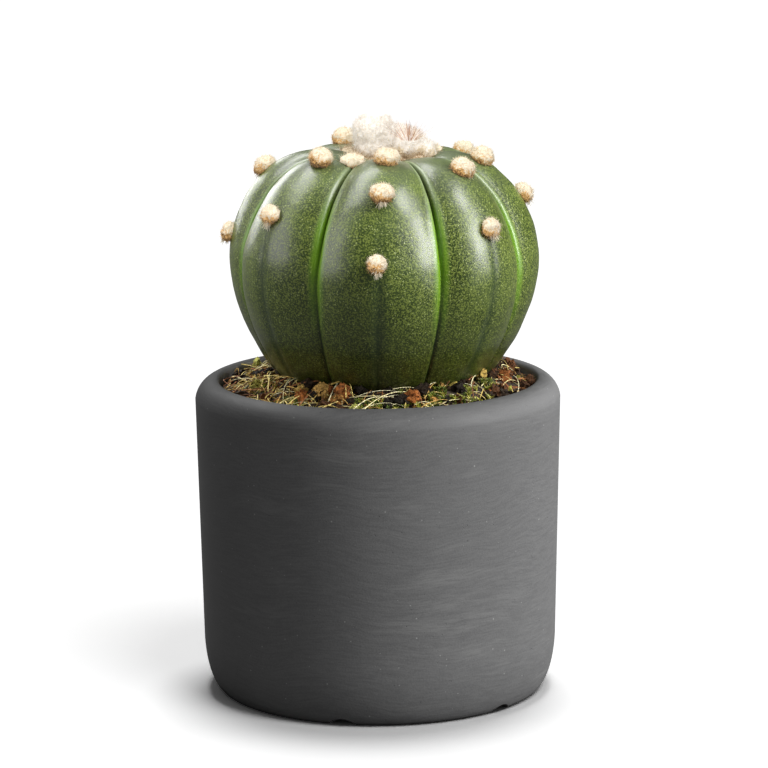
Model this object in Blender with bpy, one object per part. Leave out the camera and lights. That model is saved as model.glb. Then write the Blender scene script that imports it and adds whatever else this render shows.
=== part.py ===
"""A ribbed spineless cactus growing in a turned clay pot, in metres with +Z up.

The pot stands on its foot ring at z = 0 with its axis on Z, and -Y is the front. Potting mix fills
it to just under the lip. The cactus stands in a plain hole in the mix, leaning a little to +X, and
carries woolly tufts on its ribs and a crown of wool with two woolly buds.
Angles round the plant are in degrees, from the front towards +X.
"""

import random
from math import atan2, cos, pi, radians, sin, sqrt

import bmesh
import bpy
from mathutils import Matrix, Vector, noise

CLEARANCE = 0.0003
SEAT_CLEARANCE = 0.0004

# The pot: a turned shell with a crowned rim, a drain hole and notches through its foot ring.
POT_HEIGHT = 0.078
POT_RADIUS = 0.045
POT_FOOT_RADIUS = 0.0434
POT_OPENING_RADIUS = 0.039
POT_SIDES = 60
RIM_CREST_RADIUS = 0.0400
RIM_DEPTH = 0.0047
RIM_BREAK_ANGLE = 10
LIP_ROUNDING = 0.0010
FOOT_ROUNDING = (0.0052, 0.0150)
FLOOR_THICKNESS = 0.0065
FLOOR_ROUNDING = 0.0060
DRAIN_RADIUS = 0.0055
FOOT_RECESS_RADIUS = 0.0305
FOOT_RECESS_DEPTH = 0.0015
NOTCH_COUNT = 6
NOTCH_FIRST_ANGLE = -13.4
NOTCH_WIDTH = 0.0070
NOTCH_HEIGHT = 0.0019

# The potting mix: its height at the pot's wall, and where it is heaped against the plant.
SOIL_EDGE_HEIGHT = 0.0752
SOIL_HEAP_HEIGHT = 0.0795
SOIL_HEAP_RADII = (0.026, 0.037)
SOIL_RELIEF = 0.0009
SOIL_RING_RADII = (0.0367, 0.0346, 0.0325, 0.0304, 0.0283, 0.0262, 0.0235, 0.018)
SOIL_FLAT_RADII = (0.0365, 0.0385)
SOIL_SIDES = 48
CRUMB_COUNT = 34
CRUMB_RADII = (0.0009, 0.0017)
CRUMB_PLACES = (0.0285, 0.0372)
FIBRE_COUNT = 30
FIBRE_RADIUS = 0.00036
FIBRE_LENGTHS = (0.006, 0.013)
FIBRE_PLACES = (0.0300, 0.0340)
FIBRE_TURN = 38
FIBRE_TO_WALL = 0.0016

# The two big granules in front, as angle, distance from the pot's axis and radius.
GRANULES = ((-27.0, 0.0290, 0.0019), (-16.5, 0.0290, 0.0017))

# The plant's own frame: its middle, its lean, and the ridge line of a rib from the root end to the
# growing point, as distance from the plant's axis and height over its middle.
PLANT_MIDDLE = Vector((0.0019, 0.0, 0.109))
PLANT_LEAN = 2.0
RIDGE_LINE = (
    (0.0, -0.0405),
    (0.009, -0.0394),
    (0.016, -0.0370),
    (0.0215, -0.0338),
    (0.0258, -0.0302),
    (0.0290, -0.0265),
    (0.0328, -0.0203),
    (0.0354, -0.0142),
    (0.0372, -0.0080),
    (0.0380, -0.0015),
    (0.0374, 0.0040),
    (0.0352, 0.0108),
    (0.0316, 0.0170),
    (0.0265, 0.0219),
    (0.0210, 0.0244),
    (0.0150, 0.0251),
    (0.0090, 0.0242),
    (0.0040, 0.0228),
    (0.0, 0.0223),
)
RIDGE_ANGLES = (-2, 44, 88, 133, 178, 223, 266, 309)
GROOVE_ANGLES = (22.5, 66, 110.5, 155.5, 200.5, 245, 284, 333)
GROOVE_DEPTH = 0.0044
GROOVE_OPENING = (0.0, 0.022)
GROOVE_FADING = (0.028, 0.098)
GROOVE_FADED = 0.82
RIB_STATIONS = (0.0, 0.34, 0.62, 0.82, 0.94)
PLANT_ROWS = 27

# The hole in the mix is cut with the round shape that the ribs touch, up to this height over the
# plant's middle.
HOLE_TOP = -0.012

# Where the tufts sit on each rib, as the distance along its ridge from the growing point and the
# angle by which the tuft strays from the ridge.
TUFTS = (
    ((0.0190, 2), (0.0325, 0), (0.0498, -1)),
    ((0.0254, 2), (0.0420, 0)),
    ((0.0236, -4), (0.0369, 5)),
    ((0.0270, 0), (0.0460, 0)),
    ((0.0155, 0), (0.0310, 0), (0.0480, 0)),
    ((0.0180, -6), (0.0360, 0), (0.0500, 0)),
    ((0.0312, -3), (0.0489, 2)),
    ((0.0224, 5), (0.0406, 0)),
)
TUFT_RADIUS = 0.0030
TUFT_SHRINK = 0.025
TUFT_FULL_DISTANCE = 0.0190
TUFT_HEIGHT = 0.82
TUFT_LIFT = 0.35

# The wool of the crown in the plant's own frame, each lump as its middle, its half sizes and its
# lean to the right: the mat, the pads at its edge, then the tall bud's lumps and the second bud's.
WOOL_MAT = ((0.0, 0.0, 0.0232), (0.0140, 0.0140, 0.0036), 0)
WOOL_PADS = (
    ((-0.0083, -0.0140, 0.0242), (0.0034, 0.0026, 0.0021), 0),
    ((0.0105, 0.0085, 0.0240), (0.0036, 0.0032, 0.0020), 0),
)
TALL_BUD = (
    ((-0.0032, -0.0005, 0.0262), (0.0041, 0.0041, 0.0040), 0),
    ((-0.0036, -0.0005, 0.0298), (0.0048, 0.0045, 0.0044), -6),
    ((-0.0030, 0.0002, 0.0314), (0.0042, 0.0040, 0.0032), 8),
)
SECOND_BUD = (
    ((0.0050, -0.0005, 0.0266), (0.0048, 0.0046, 0.0046), 18),
    ((0.0088, -0.0002, 0.0250), (0.0036, 0.0040, 0.0034), 38),
    ((0.0030, 0.0005, 0.0284), (0.0032, 0.0034, 0.0034), 0),
)
BRISTLE_COUNT = 14
BRISTLE_RADIUS = 0.00034
BRISTLE_LENGTHS = (0.0066, 0.0082)
BRISTLE_SPREAD = 38
BRISTLE_ROOT = Vector((0.0036, -0.0004, 0.0262))

POT_FINISH = ("charcoal_clay", (0.055, 0.056, 0.058), 0.82)
SOIL_FINISH = ("potting_mix", (0.110, 0.080, 0.036), 0.95)
PLANT_FINISH = ("green_skin", (0.036, 0.075, 0.018), 0.45)
WOOL_FINISH = ("cream_wool", (0.720, 0.610, 0.470), 0.95)


def clear_scene():
    for old in list(bpy.data.objects):
        bpy.data.objects.remove(old)


def finish(obj, name, colour, roughness, metallic=0.0):
    """Gives the object its own material and smooth shading."""
    material = bpy.data.materials.new(name)
    material.use_nodes = True
    shader = material.node_tree.nodes["Principled BSDF"]
    shader.inputs["Base Color"].default_value = (*colour, 1.0)
    shader.inputs["Roughness"].default_value = roughness
    shader.inputs["Metallic"].default_value = metallic
    obj.data.materials.clear()
    obj.data.materials.append(material)
    obj.data.shade_smooth()
    obj.data.set_sharp_from_angle(angle=radians(38))


def object_from(name, bm):
    """Puts the finished bmesh into the scene under this name, with its faces pointing out."""
    bmesh.ops.recalc_face_normals(bm, faces=bm.faces)
    mesh = bpy.data.meshes.new(name)
    bm.to_mesh(mesh)
    bm.free()
    obj = bpy.data.objects.new(name, mesh)
    bpy.context.scene.collection.objects.link(obj)
    return obj


def turned(profile, sides, closed):
    """A bmesh turned from a line of (radius, height) points, which ends on the axis or is closed."""
    bm = bmesh.new()
    station = bm.verts.layers.float.new("station")
    line = [bm.verts.new((0.0, -radius, height)) for radius, height in profile]
    for number, vert in enumerate(line):
        vert[station] = number
    edges = [bm.edges.new(pair) for pair in zip(line, line[1:])]
    if closed:
        edges.append(bm.edges.new((line[-1], line[0])))
    bmesh.ops.spin(
        bm,
        geom=line + edges,
        cent=(0, 0, 0),
        axis=(0, 0, 1),
        angle=2 * pi,
        steps=sides,
        use_merge=True,
        use_duplicate=False,
    )
    bmesh.ops.remove_doubles(bm, verts=bm.verts, dist=1e-6)
    return bm


def arc(middle, half_width, half_height, start, stop, steps):
    """Points (radius, height) on an ellipse between two angles in degrees, both ends included."""
    turns = [radians(start + (stop - start) * step / steps) for step in range(steps + 1)]
    return [(middle[0] + half_width * cos(turn), middle[1] + half_height * sin(turn)) for turn in turns]


def smoothstep(low, high, value):
    share = min(1.0, max(0.0, (value - low) / (high - low)))
    return share * share * (3 - 2 * share)


def joined(obj, repeats, operation="UNION", solver="EXACT"):
    """Joins the repeats to the object, or cuts them from it, and keeps its largest body."""
    group = bpy.data.collections.new(obj.name + "_repeats")
    bpy.context.scene.collection.children.link(group)
    for repeat in repeats:
        bpy.context.scene.collection.objects.unlink(repeat)
        group.objects.link(repeat)
    modifier = obj.modifiers.new(operation.lower(), "BOOLEAN")
    modifier.operation = operation
    modifier.operand_type = "COLLECTION"
    modifier.collection = group
    modifier.solver = solver
    graph = bpy.context.evaluated_depsgraph_get()
    mesh = bpy.data.meshes.new_from_object(obj.evaluated_get(graph))
    obj.modifiers.clear()
    obj.data = mesh
    for repeat in repeats:
        bpy.data.objects.remove(repeat)
    bpy.data.collections.remove(group)
    drop_scraps(obj)


def drop_scraps(obj):
    """Deletes every loose body of the object's mesh but the largest."""
    bm = bmesh.new()
    bm.from_mesh(obj.data)
    unseen = set(bm.verts)
    bodies = []
    while unseen:
        edge_of_body = [unseen.pop()]
        body = set(edge_of_body)
        while edge_of_body:
            vert = edge_of_body.pop()
            for edge in vert.link_edges:
                other = edge.other_vert(vert)
                if other in unseen:
                    unseen.remove(other)
                    body.add(other)
                    edge_of_body.append(other)
        bodies.append(body)
    bodies.sort(key=len)
    scraps = [vert for body in bodies[:-1] for vert in body]
    bmesh.ops.delete(bm, geom=scraps, context="VERTS")
    bm.to_mesh(obj.data)
    bm.free()


def direction(angle):
    """The level unit vector at an angle in degrees from the front towards +X."""
    return Vector((sin(radians(angle)), -cos(radians(angle)), 0.0))


def pot_profile():
    """The pot's closed cross-section, from the drain hole out along the foot and round over the rim."""
    foot_x, foot_z = FOOT_ROUNDING
    wall_slope = (POT_RADIUS - POT_FOOT_RADIUS) / POT_HEIGHT
    corner_radius = POT_FOOT_RADIUS + wall_slope * foot_z
    points = [
        (DRAIN_RADIUS, FOOT_RECESS_DEPTH),
        (FOOT_RECESS_RADIUS - FOOT_RECESS_DEPTH, FOOT_RECESS_DEPTH),
        (FOOT_RECESS_RADIUS, 0.0),
    ]
    points += arc((corner_radius - foot_x, foot_z), foot_x, foot_z, -90, 0, 7)
    half_width = (POT_RADIUS - RIM_CREST_RADIUS) / cos(radians(RIM_BREAK_ANGLE))
    half_height = RIM_DEPTH / (1 - sin(radians(RIM_BREAK_ANGLE)))
    rim_middle = (RIM_CREST_RADIUS, POT_HEIGHT - half_height)
    points += arc(rim_middle, half_width, half_height, RIM_BREAK_ANGLE, 90, 5)
    lip_height = POT_HEIGHT - LIP_ROUNDING
    points += arc((RIM_CREST_RADIUS, lip_height), LIP_ROUNDING, LIP_ROUNDING, 90, 180, 3)[1:]
    floor_x = wall_inside(FLOOR_THICKNESS + FLOOR_ROUNDING) - FLOOR_ROUNDING
    floor_z = FLOOR_THICKNESS + FLOOR_ROUNDING
    points += arc((floor_x, floor_z), FLOOR_ROUNDING, FLOOR_ROUNDING, 0, -90, 4)
    points.append((DRAIN_RADIUS, FLOOR_THICKNESS))
    return points


def wall_inside(height):
    """The radius of the pot's inner wall at a height."""
    wall_slope = (POT_RADIUS - POT_FOOT_RADIUS) / POT_HEIGHT
    return POT_OPENING_RADIUS - wall_slope * (POT_HEIGHT - height)


def make_pot():
    pot = object_from("pot", turned(pot_profile(), POT_SIDES, closed=True))
    arch_radius = ((NOTCH_WIDTH / 2) ** 2 + NOTCH_HEIGHT**2) / (2 * NOTCH_HEIGHT)
    inner_end = FOOT_RECESS_RADIUS - 0.003
    outer_end = POT_RADIUS + 0.003
    notches = []
    for number in range(NOTCH_COUNT):
        outward = direction(NOTCH_FIRST_ANGLE + 360 * number / NOTCH_COUNT)
        middle = outward * (inner_end + outer_end) / 2 + Vector((0, 0, NOTCH_HEIGHT - arch_radius))
        bm = bmesh.new()
        bmesh.ops.create_cone(
            bm,
            cap_ends=True,
            segments=16,
            radius1=arch_radius,
            radius2=arch_radius,
            depth=outer_end - inner_end,
            matrix=Matrix.Translation(middle) @ outward.to_track_quat("Z", "Y").to_matrix().to_4x4(),
        )
        notches.append(object_from(f"notch_{number}", bm))
    joined(pot, notches, "DIFFERENCE")
    finish(pot, *POT_FINISH)


def ridge_points(rows):
    """The ridge line of a rib drawn smooth, as rows of (radius, height, distance to the growing point)."""
    last = len(RIDGE_LINE) - 1
    line = [Vector((radius, 0.0, height)) for radius, height in RIDGE_LINE]
    before = Vector((-line[1].x, 0.0, line[1].z))
    after = Vector((-line[-2].x, 0.0, line[-2].z))
    line = [before] + line + [after]
    fine = []
    steps = 24
    for number in range(last):
        p0, p1, p2, p3 = line[number : number + 4]
        for step in range(steps):
            u = step / steps
            slope = (p2 - p0) * u + (2 * p0 - 5 * p1 + 4 * p2 - p3) * u**2
            fine.append(p1 + 0.5 * (slope + (3 * p1 - p0 - 3 * p2 + p3) * u**3))
    fine.append(line[-2])
    run = [0.0]
    for here, there in zip(fine, fine[1:]):
        run.append(run[-1] + (there - here).length)
    total = run[-1]
    wanted = [total * row / rows for row in range(rows + 1)]
    found = []
    number = 0
    for distance in wanted:
        while number < len(run) - 2 and run[number + 1] < distance:
            number += 1
        share = (distance - run[number]) / (run[number + 1] - run[number])
        point = fine[number].lerp(fine[number + 1], min(1.0, share))
        found.append((max(0.0, point.x), point.z, total - distance))
    return found


def rib_spans():
    """For each rib, its ridge angle and the angles of the grooves on its two sides."""
    spans = []
    for number, ridge in enumerate(RIDGE_ANGLES):
        right = GROOVE_ANGLES[number]
        left = GROOVE_ANGLES[number - 1] - (360 if number == 0 else 0)
        spans.append((left, ridge, right))
    return spans


def column_angles():
    """The angles of the plant's columns of points, closer together towards the grooves."""
    angles = []
    for left, ridge, right in rib_spans():
        angles += [ridge - (ridge - left) * share for share in (1.0, *reversed(RIB_STATIONS[1:]))]
        angles += [ridge + (right - ridge) * share for share in RIB_STATIONS]
    return angles


def groove_share(angle):
    """How far an angle lies from the ridge of its rib: 0 on the ridge and 1 in the groove."""
    for left, ridge, right in rib_spans():
        turned_angle = (angle - left) % 360
        if turned_angle <= right - left:
            from_ridge = turned_angle - (ridge - left)
            return from_ridge / (right - ridge) if from_ridge > 0 else -from_ridge / (ridge - left)
    return 1.0


def groove_sink(angle, distance):
    """How deep the skin lies under the ridge line at an angle, at a distance to the growing point."""
    share = groove_share(angle)
    depth = GROOVE_DEPTH * smoothstep(*GROOVE_OPENING, distance)
    depth *= 1 - GROOVE_FADED * smoothstep(*GROOVE_FADING, distance)
    flatness = 0.2 + 0.35 * smoothstep(0.025, 0.050, distance)
    return depth * ((1 - flatness) * share**2 + flatness * share**6)


def plant_frame():
    """The matrix from the plant's own frame to the world."""
    return Matrix.Translation(PLANT_MIDDLE) @ Matrix.Rotation(radians(PLANT_LEAN), 4, "Y")


def plant_mesh(swell=0.0):
    """The ribbed body as a bmesh in the world, with its skin moved out by a swell."""
    rows = ridge_points(PLANT_ROWS)
    outs = []
    for number, (radius, height, _) in enumerate(rows):
        below = rows[max(0, number - 1)]
        above = rows[min(len(rows) - 1, number + 1)]
        along = Vector((above[0] - below[0], above[1] - below[1]))
        if number in (0, len(rows) - 1):
            along = Vector((1.0 if number == 0 else -1.0, 0.0))
        along.normalize()
        outs.append((along.y, -along.x))
    angles = column_angles()
    bm = turned([(radius, height) for radius, height, _ in rows], len(angles), closed=False)
    station = bm.verts.layers.float["station"]
    for vert in bm.verts:
        row = round(vert[station])
        radius, height, distance = rows[row]
        around = atan2(vert.co.x, -vert.co.y) / (2 * pi) * len(angles)
        angle = angles[round(around) % len(angles)]
        out = swell - groove_sink(angle, distance)
        if row in (0, len(rows) - 1):
            vert.co = Vector((0.0, 0.0, height + swell * outs[row][1]))
            continue
        vert.co = direction(angle) * (radius + out * outs[row][0])
        vert.co.z = height + out * outs[row][1]
    bm.transform(plant_frame())
    return bm


def ridge_place(rib, distance, stray):
    """A point by a rib's ridge and the way out of the skin there, in the world."""
    rows = ridge_points(200)
    row = min(range(1, len(rows) - 1), key=lambda number: abs(rows[number][2] - distance))
    radius, height, _ = rows[row]
    along = Vector((rows[row + 1][0] - rows[row - 1][0], rows[row + 1][1] - rows[row - 1][1])).normalized()
    level = direction(RIDGE_ANGLES[rib] + stray)
    place = level * radius + Vector((0, 0, height))
    out = level * along.y + Vector((0, 0, -along.x))
    frame = plant_frame()
    return frame @ place, frame.to_3x3() @ out


def lump(name, middle, half_sizes, turn, faces=2):
    """A felted lump: a ball of few faces, stretched and turned."""
    bm = bmesh.new()
    bmesh.ops.create_icosphere(bm, subdivisions=faces, radius=1.0)
    shape = Matrix.Translation(middle) @ turn.to_4x4() @ Matrix.Diagonal((*half_sizes, 1.0))
    bmesh.ops.transform(bm, matrix=shape, verts=bm.verts)
    return object_from(name, bm)


def make_plant():
    plant = object_from("cactus", plant_mesh())
    tufts = []
    for rib, tufts_of_rib in enumerate(TUFTS):
        for distance, stray in tufts_of_rib:
            place, out = ridge_place(rib, distance, stray)
            radius = TUFT_RADIUS - TUFT_SHRINK * (distance - TUFT_FULL_DISTANCE)
            middle = place + out * radius * TUFT_LIFT
            half_sizes = (radius, radius, radius * TUFT_HEIGHT)
            turn = out.to_track_quat("Z", "Y").to_matrix()
            tufts.append(lump(f"tuft_{len(tufts)}", middle, half_sizes, turn))
    joined(plant, tufts)
    finish(plant, *PLANT_FINISH)


def needle(name, root, tip, radius):
    """A three-sided tapered needle from its root to its tip."""
    bm = bmesh.new()
    along = tip - root
    bmesh.ops.create_cone(
        bm,
        cap_ends=True,
        segments=3,
        radius1=radius * 1.25,
        radius2=radius * 0.8,
        depth=along.length,
        matrix=Matrix.Translation((root + tip) / 2) @ along.to_track_quat("Z", "Y").to_matrix().to_4x4(),
    )
    return object_from(name, bm)


def make_wool():
    """The crown's wool: a mat that fills the sunken crown, the buds in it and the bristles."""
    frame = plant_frame()
    turn_of = frame.to_3x3()
    middle, half_sizes, _ = WOOL_MAT
    wool = lump("crown_wool", frame @ Vector(middle), half_sizes, turn_of, faces=3)
    repeats = []
    for middle, half_sizes, lean in WOOL_PADS + TALL_BUD + SECOND_BUD:
        turn = turn_of @ Matrix.Rotation(radians(lean), 3, "Y")
        repeats.append(lump(f"lump_{len(repeats)}", frame @ Vector(middle), half_sizes, turn))
    draw = random.Random(7)
    for number in range(BRISTLE_COUNT):
        spread = BRISTLE_SPREAD * sqrt((number + 0.5) / BRISTLE_COUNT)
        turn = number * 137.5 + draw.uniform(-15, 15)
        tilt = Matrix.Rotation(radians(turn), 3, "Z") @ Matrix.Rotation(radians(spread), 3, "X")
        way = tilt @ Vector((0, 0, 1))
        tip = BRISTLE_ROOT + way * draw.uniform(*BRISTLE_LENGTHS)
        repeats.append(needle(f"bristle_{number}", frame @ BRISTLE_ROOT, frame @ tip, BRISTLE_RADIUS))
    joined(wool, repeats)
    seat = object_from("wool_seat", plant_mesh(swell=SEAT_CLEARANCE))
    joined(wool, [seat], "DIFFERENCE")
    finish(wool, *WOOL_FINISH)


def soil_height(place):
    """The height of the mix at a place, heaped against the plant and uneven all over."""
    from_plant = (place - PLANT_MIDDLE).xy.length
    heap = 1 - smoothstep(*SOIL_HEAP_RADII, from_plant)
    relief = noise.noise(Vector((place.x, place.y, 0.3)) * 320) * SOIL_RELIEF
    relief += noise.noise(Vector((place.x, place.y, 4.1)) * 110) * SOIL_RELIEF
    return SOIL_EDGE_HEIGHT + (SOIL_HEAP_HEIGHT - SOIL_EDGE_HEIGHT) * heap + relief


def soil_profile():
    """The outline of the mix from its floor up the pot's wall and in over its top."""
    floor = FLOOR_THICKNESS + CLEARANCE
    edge = wall_inside(SOIL_EDGE_HEIGHT) - CLEARANCE
    corner_z = FLOOR_THICKNESS + FLOOR_ROUNDING
    corner_x = wall_inside(corner_z) - FLOOR_ROUNDING
    inset = FLOOR_ROUNDING - CLEARANCE
    points = [(0.0, floor)] + arc((corner_x, corner_z), inset, inset, -90, 0, 4)
    points += [(radius, SOIL_EDGE_HEIGHT) for radius in (edge, *SOIL_RING_RADII)]
    points.append((0.0, SOIL_EDGE_HEIGHT))
    return points


def make_soil():
    """The potting mix: its body, the crumbs, granules and dry fibres on it, and the plant's hole."""
    bm = turned(soil_profile(), SOIL_SIDES, closed=False)
    for vert in bm.verts:
        if vert.co.z > SOIL_EDGE_HEIGHT - 0.0001:
            height = soil_height(vert.co)
            flat = smoothstep(*SOIL_FLAT_RADII, vert.co.xy.length)
            vert.co.z = height + (SOIL_EDGE_HEIGHT - height) * flat
    soil = object_from("soil", bm)
    draw = random.Random(21)
    repeats = []
    for number in range(CRUMB_COUNT):
        angle = 360 * (number + draw.uniform(-0.3, 0.3)) / CRUMB_COUNT
        radius = draw.uniform(*CRUMB_RADII)
        place = direction(angle) * draw.uniform(CRUMB_PLACES[0], CRUMB_PLACES[1] - radius)
        place.z = soil_height(place) + radius * 0.25
        turn = Matrix.Rotation(draw.uniform(0, pi), 3, Vector((1, draw.random(), draw.random())))
        half_sizes = [radius * draw.uniform(0.8, 1.15) for _ in range(3)]
        repeats.append(lump(f"crumb_{number}", place, half_sizes, turn, faces=1))
    for number, (angle, from_axis, radius) in enumerate(GRANULES):
        place = direction(angle) * from_axis
        place.z = soil_height(place) + radius * 0.6
        half_sizes = (radius, radius, radius)
        repeats.append(lump(f"granule_{number}", place, half_sizes, Matrix.Identity(3)))
    for number in range(FIBRE_COUNT):
        length = draw.uniform(*FIBRE_LENGTHS)
        angle = 360 * (number + draw.uniform(-0.4, 0.4)) / FIBRE_COUNT
        middle = direction(angle) * draw.uniform(*FIBRE_PLACES)
        way = direction(angle + 90 + draw.uniform(-FIBRE_TURN, FIBRE_TURN)) * length / 2
        ends = [middle - way, middle + way]
        for end in ends:
            reach = min(end.xy.length, wall_inside(SOIL_EDGE_HEIGHT) - FIBRE_TO_WALL)
            end.xy = end.xy.normalized() * reach
            end.z = soil_height(end) + draw.uniform(0.0, 0.0003)
        repeats.append(needle(f"fibre_{number}", *ends, FIBRE_RADIUS))
    joined(soil, repeats, solver="MANIFOLD")
    hole = object_from("plant_hole", envelope_mesh(SEAT_CLEARANCE))
    joined(soil, [hole], "DIFFERENCE", solver="MANIFOLD")
    finish(soil, *SOIL_FINISH)


def envelope_mesh(swell):
    """The round shape that the ribs' ridges touch, moved out by a swell, up to the plant's middle."""
    rows = [row for row in ridge_points(PLANT_ROWS) if row[1] < HOLE_TOP]
    profile = []
    for number, (radius, height, _) in enumerate(rows):
        before = rows[max(0, number - 1)]
        after = rows[min(len(rows) - 1, number + 1)]
        along = Vector((after[0] - before[0], after[1] - before[1])).normalized()
        if number == 0:
            profile.append((0.0, height - swell))
            continue
        profile.append((radius + swell * along.y, height - swell * along.x))
    profile.append((0.0, profile[-1][1]))
    bm = turned(profile, SOIL_SIDES, closed=False)
    bm.transform(plant_frame())
    return bm


clear_scene()
make_pot()
make_soil()
make_plant()
make_wool()
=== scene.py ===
import random
from math import atan2, cos, radians, sin, tau

import bmesh
import bpy
import numpy as np
from mathutils import Matrix, Vector, noise


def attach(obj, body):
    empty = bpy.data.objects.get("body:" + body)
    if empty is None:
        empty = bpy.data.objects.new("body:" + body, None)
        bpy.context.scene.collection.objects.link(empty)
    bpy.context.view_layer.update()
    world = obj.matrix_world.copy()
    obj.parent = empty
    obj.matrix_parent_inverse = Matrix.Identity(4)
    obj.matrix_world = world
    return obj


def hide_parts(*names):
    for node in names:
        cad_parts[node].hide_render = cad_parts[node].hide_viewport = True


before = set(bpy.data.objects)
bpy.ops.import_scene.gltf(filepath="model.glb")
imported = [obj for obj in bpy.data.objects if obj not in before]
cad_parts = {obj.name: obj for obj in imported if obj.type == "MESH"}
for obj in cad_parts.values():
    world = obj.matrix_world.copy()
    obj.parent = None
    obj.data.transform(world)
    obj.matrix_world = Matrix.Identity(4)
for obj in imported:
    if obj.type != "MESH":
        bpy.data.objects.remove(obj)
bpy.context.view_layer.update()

# The view: a long lens that looks a little down on the rim, with the pot's axis upright near the
# middle of the picture. It has no film look, so that the white ground stays white.
LENS = 188.586
SENSOR_WIDTH = 36.0
VIEW_DISTANCE = 1.0
VIEW_ELEVATION = 0.2314
VIEW_CENTRE_HEIGHT = 0.040
AIM_PITCH = 0.0354
AIM_YAW = 0.0016
CAMERA_ROLL = 0.0088

camera = bpy.data.objects.new("camera", bpy.data.cameras.new("camera"))
camera.data.lens = LENS
camera.data.sensor_width = SENSOR_WIDTH
camera.data.sensor_fit = "HORIZONTAL"
camera.data.clip_start = 0.05
camera.data.clip_end = 30.0
camera_place = (
    0.0,
    -VIEW_DISTANCE * cos(VIEW_ELEVATION),
    VIEW_CENTRE_HEIGHT + VIEW_DISTANCE * sin(VIEW_ELEVATION),
)
camera.matrix_world = (
    Matrix.Translation(camera_place)
    @ Matrix.Rotation(-AIM_YAW, 4, "Z")
    @ Matrix.Rotation(radians(90) + AIM_PITCH - VIEW_ELEVATION, 4, "X")
    @ Matrix.Rotation(-CAMERA_ROLL, 4, "Z")
)
bpy.context.scene.collection.objects.link(camera)
bpy.context.scene.camera = camera
bpy.context.scene.view_settings.view_transform = "Standard"

# The floor: one sheet of white studio paper, without a seam. The picture shows it brighter than the
# plant sees it, so that it burns out to white and still throws little light up at the pot.
FLOOR_SIZE = 3.0
FLOOR_SEEN = 1.42
FLOOR_BOUNCE = 0.26


def add(tree, kind, inputs=(), **settings):
    """A shader node with its settings and its inputs, each a value or another node's output."""
    made = tree.nodes.new("ShaderNode" + kind)
    for name, value in settings.items():
        setattr(made, name, value)
    for name, value in dict(inputs).items():
        socket = made.inputs[name]
        if isinstance(value, bpy.types.NodeSocket):
            tree.links.new(value, socket)
        elif socket.type == "RGBA" and len(value) == 3:
            socket.default_value = (*value, 1.0)
        else:
            socket.default_value = value
    return made


def new_material(name, roughness):
    """A material with one Principled shader, as its node tree and that shader."""
    material = bpy.data.materials.new(name)
    material.use_nodes = True
    shader = material.node_tree.nodes["Principled BSDF"]
    shader.inputs["Roughness"].default_value = roughness
    return material, material.node_tree, shader


def mixed(tree, share, first, second):
    """The colour that goes from first to second with the share."""
    return add(tree, "Mix", {0: share, 6: first, 7: second}, data_type="RGBA").outputs[2]


def mesh_from(name, bm):
    """The mesh of a finished bmesh."""
    mesh = bpy.data.meshes.new(name)
    bm.to_mesh(mesh)
    bm.free()
    return mesh


def object_from(name, bm, material=None, sharp=180):
    """Puts a finished bmesh into the scene, smooth except along edges sharper than an angle."""
    mesh = mesh_from(name, bm)
    if material:
        mesh.materials.append(material)
    mesh.shade_smooth()
    mesh.set_sharp_from_angle(angle=radians(sharp))
    made = bpy.data.objects.new(name, mesh)
    bpy.context.scene.collection.objects.link(made)
    return made


material, tree, shader = new_material("white_paper", 1.0)
shader.inputs["Specular IOR Level"].default_value = 0.0
seen = add(tree, "LightPath").outputs["Is Camera Ray"]
paper = mixed(tree, seen, (FLOOR_BOUNCE,) * 3, (FLOOR_SEEN,) * 3)
tree.links.new(paper, shader.inputs["Base Color"])
bm = bmesh.new()
bmesh.ops.create_grid(bm, x_segments=1, y_segments=1, size=FLOOR_SIZE)
floor = object_from("studio_floor", bm, material)

# The pot: a turned cup of charcoal clay with a softly crowned rim and a rounded foot, wiped with a
# brush while it spun, which left fine streaks. It has a drain hole and six notches in its foot ring.
POT_HEIGHT = 0.078
POT_RADIUS = 0.045
POT_FOOT_RADIUS = 0.0434
POT_OPENING_RADIUS = 0.039
POT_STEPS = 256
RIM_CREST_RADIUS = 0.0400
RIM_DEPTH = 0.0047
RIM_BREAK_ANGLE = 10
LIP_ROUNDING = 0.0010
FOOT_ROUNDING = (0.0052, 0.0150)
FLOOR_THICKNESS = 0.0065
FLOOR_ROUNDING = 0.0060
DRAIN_RADIUS = 0.0055
FOOT_RECESS_RADIUS = 0.0305
FOOT_RECESS_DEPTH = 0.0015
NOTCH_COUNT = 6
NOTCH_FIRST_ANGLE = -13.4
NOTCH_WIDTH = 0.0070
NOTCH_HEIGHT = 0.0019
NOTCH_OVERSHOOT = 0.003
NOTCH_SIDES = 48
POT_EDGE_ANGLE = 28
CLAY_DARK = (0.100, 0.100, 0.101)
CLAY_LIGHT = (0.134, 0.134, 0.134)
CLAY_SPECK = (0.36, 0.36, 0.35)
CLAY_DUST = (0.20, 0.20, 0.197)
CLAY_PIT_SHADE = (0.03, 0.03, 0.03)


def direction(angle):
    """The level unit vector at an angle in degrees from the front, -Y, towards +X."""
    return Vector((sin(radians(angle)), -cos(radians(angle)), 0.0))


def smoothstep(low, high, value):
    share = min(1.0, max(0.0, (value - low) / (high - low)))
    return share * share * (3 - 2 * share)


def arc(middle, half_width, half_height, start, stop, steps):
    """Points (radius, height) on an ellipse between two angles in degrees, both ends included."""
    turns = [radians(start + (stop - start) * step / steps) for step in range(steps + 1)]
    return [(middle[0] + half_width * cos(turn), middle[1] + half_height * sin(turn)) for turn in turns]


def wall_inside(height):
    """The radius of the pot's inner wall at a height."""
    slope = (POT_RADIUS - POT_FOOT_RADIUS) / POT_HEIGHT
    return POT_OPENING_RADIUS - slope * (POT_HEIGHT - height)


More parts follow.
